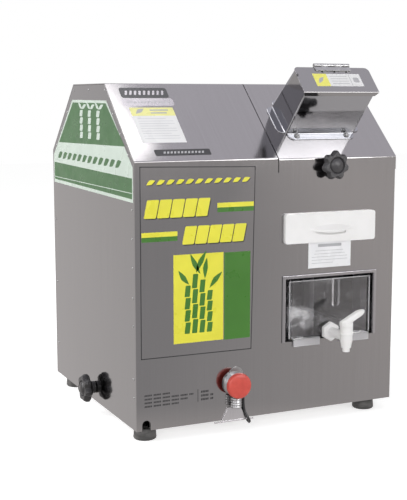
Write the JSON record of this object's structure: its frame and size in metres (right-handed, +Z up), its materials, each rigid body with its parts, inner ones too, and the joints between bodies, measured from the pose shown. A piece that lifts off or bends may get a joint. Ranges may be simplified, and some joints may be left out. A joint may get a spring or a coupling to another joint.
{
  "type": "sugarcane juicer",
  "caption": "Bench-top electric sugarcane juicer: sheet-metal cabinet with hinged roof cover and feed hopper, geared roller mill, strainer drawer, juice tank and tap.",
  "frame": {"origin": "bottom centre of the bounding box, on the feet's resting plane", "axes": "+X to the right seen from the front, +Y from the front to the back, +Z up"},
  "size_m": [0.5096, 0.5002, 0.6039],
  "materials": {
    "polished_steel": "polished sheet steel",
    "cast_steel": "machined",
    "satin_silver": "satin",
    "black_plastic": "moulded",
    "red_plastic": "moulded",
    "white_plastic": "moulded",
    "clear_plastic": "clear moulded",
    "black_rubber": "matt",
    "grey_paint": "satin paint"
  },
  "bodies": {
    "root": {"front_and_roof_sheet": "polished_steel", "left_side_panel": "polished_steel", "right_side_panel": "polished_steel", "base_pan": "polished_steel", "rear_panel": "polished_steel", "seam_channel": "polished_steel", "front_left_foot": "black_rubber", "front_right_foot": "black_rubber", "rear_left_foot": "black_rubber", "rear_right_foot": "black_rubber", "cover_hinge_fixed_leaf": "satin_silver", "cover_hinge_pin": "satin_silver", "estop_bezel": "satin_silver", "estop_contact_block": "black_plastic", "estop_strap": "satin_silver", "estop_cable": "black_plastic", "left_cheek_plate": "cast_steel", "right_cheek_plate": "cast_steel", "drive_plate": "cast_steel", "front_tie_rod": "satin_silver", "rear_tie_rod": "satin_silver", "upper_tie_rod": "satin_silver", "turning_plate": "polished_steel", "feed_guide": "polished_steel", "v_belt": "black_rubber", "motor_body": "grey_paint", "motor_plate": "polished_steel", "mill_frame": "grey_paint", "drawer_runner": "polished_steel", "juice_funnel": "polished_steel", "bagasse_chute": "polished_steel", "cable_gland": "black_plastic"},
    "roof_cover": {"right_roof_cover": "polished_steel", "hopper_box": "polished_steel", "cover_hinge_moving_leaf": "satin_silver", "lid_hinge_wall_leaf": "satin_silver", "lid_hinge_pin": "satin_silver"},
    "hopper_lid": {"hopper_lid": "polished_steel", "lid_hinge_lid_leaf": "satin_silver"},
    "cover_knob": {"cover_knob": "black_plastic"},
    "side_knob": {"side_knob": "black_plastic"},
    "estop_plunger": {"estop_plunger": "black_plastic"},
    "estop_head": {"estop_head": "red_plastic"},
    "strainer_drawer": {"strainer_drawer": "white_plastic", "strainer_screen": "polished_steel"},
    "juice_tank": {"juice_tank": "clear_plastic", "tap_body": "white_plastic", "tap_nut": "white_plastic"},
    "tap_plug": {"tap_plug": "white_plastic"},
    "main_roll": {"main_roller": "cast_steel", "main_mill_gear": "polished_steel", "bull_gear": "cast_steel"},
    "feed_roll": {"feed_roller": "cast_steel", "feed_mill_gear": "polished_steel"},
    "discharge_roll": {"discharge_roller": "cast_steel", "discharge_mill_gear": "polished_steel"},
    "countershaft": {"pinion_shaft": "polished_steel", "driven_pulley": "cast_steel"},
    "motor_shaft": {"motor_shaft": "polished_steel", "motor_pulley": "cast_steel"}
  },
  "joints": [
    {"name": "cover_hinge", "type": "hinge", "parent": "root", "child": "roof_cover", "pos_m": [0.13955, 0.2412, 0.45046], "axis": [-1, 0, 0], "range_deg": [0, 95]},
    {"name": "lid_hinge", "type": "hinge", "parent": "roof_cover", "child": "hopper_lid", "pos_m": [0.1283, -0.17479, 0.60066], "axis": [-1, 0, 0], "range_deg": [0, 100]},
    {"name": "cover_knob_turn", "type": "hinge", "parent": "root", "child": "cover_knob", "pos_m": [0.1238, -0.18385, 0.4366], "axis": [0, -1, 0], "range_deg": [0, 360]},
    {"name": "side_knob_turn", "type": "hinge", "parent": "root", "child": "side_knob", "pos_m": [-0.2272, 0.01615, 0.0445], "axis": [-1, 0, 0], "range_deg": [0, 360]},
    {"name": "estop_press", "type": "slide", "parent": "root", "child": "estop_plunger", "axis": [0, 1, 0], "range_m": [0, 0.0045]},
    {"name": "estop_twist", "type": "hinge", "parent": "estop_plunger", "child": "estop_head", "pos_m": [-0.055, -0.18385, 0.0813], "axis": [0, 1, 0], "range_deg": [0, 40], "stiffness_Nm_per_rad": 0.02},
    {"name": "drawer_slide", "type": "slide", "parent": "root", "child": "strainer_drawer", "axis": [0, -1, 0], "range_m": [0, 0.15]},
    {"name": "tank_slide", "type": "slide", "parent": "root", "child": "juice_tank", "axis": [0, -1, 0], "range_m": [0, 0.15]},
    {"name": "tap_turn", "type": "hinge", "parent": "juice_tank", "child": "tap_plug", "pos_m": [0.1273, -0.23845, 0.1525], "axis": [0, 0, -1], "range_deg": [0, 90]},
    {"name": "main_spin", "type": "hinge", "parent": "root", "child": "main_roll", "pos_m": [0.1268, -0.03585, 0.466], "axis": [1, 0, 0], "continuous": true},
    {"name": "feed_spin", "type": "hinge", "parent": "root", "child": "feed_roll", "pos_m": [0.1268, -0.0827, 0.4224], "axis": [1, 0, 0], "continuous": true},
    {"name": "discharge_spin", "type": "hinge", "parent": "root", "child": "discharge_roll", "pos_m": [0.1268, -0.00104, 0.41229], "axis": [1, 0, 0], "continuous": true},
    {"name": "countershaft_spin", "type": "hinge", "parent": "root", "child": "countershaft", "pos_m": [0.1268, 0.05107, 0.43436], "axis": [1, 0, 0], "continuous": true},
    {"name": "motor_spin", "type": "hinge", "parent": "root", "child": "motor_shaft", "pos_m": [0.1268, 0.05107, 0.125], "axis": [1, 0, 0], "continuous": true}
  ],
  "couplings": [
    {"joint": "feed_spin", "follows": "main_spin", "ratio": -1},
    {"joint": "discharge_spin", "follows": "main_spin", "ratio": -1},
    {"joint": "countershaft_spin", "follows": "main_spin", "ratio": -3.1111},
    {"joint": "motor_spin", "follows": "main_spin", "ratio": -8.1159}
  ]
}
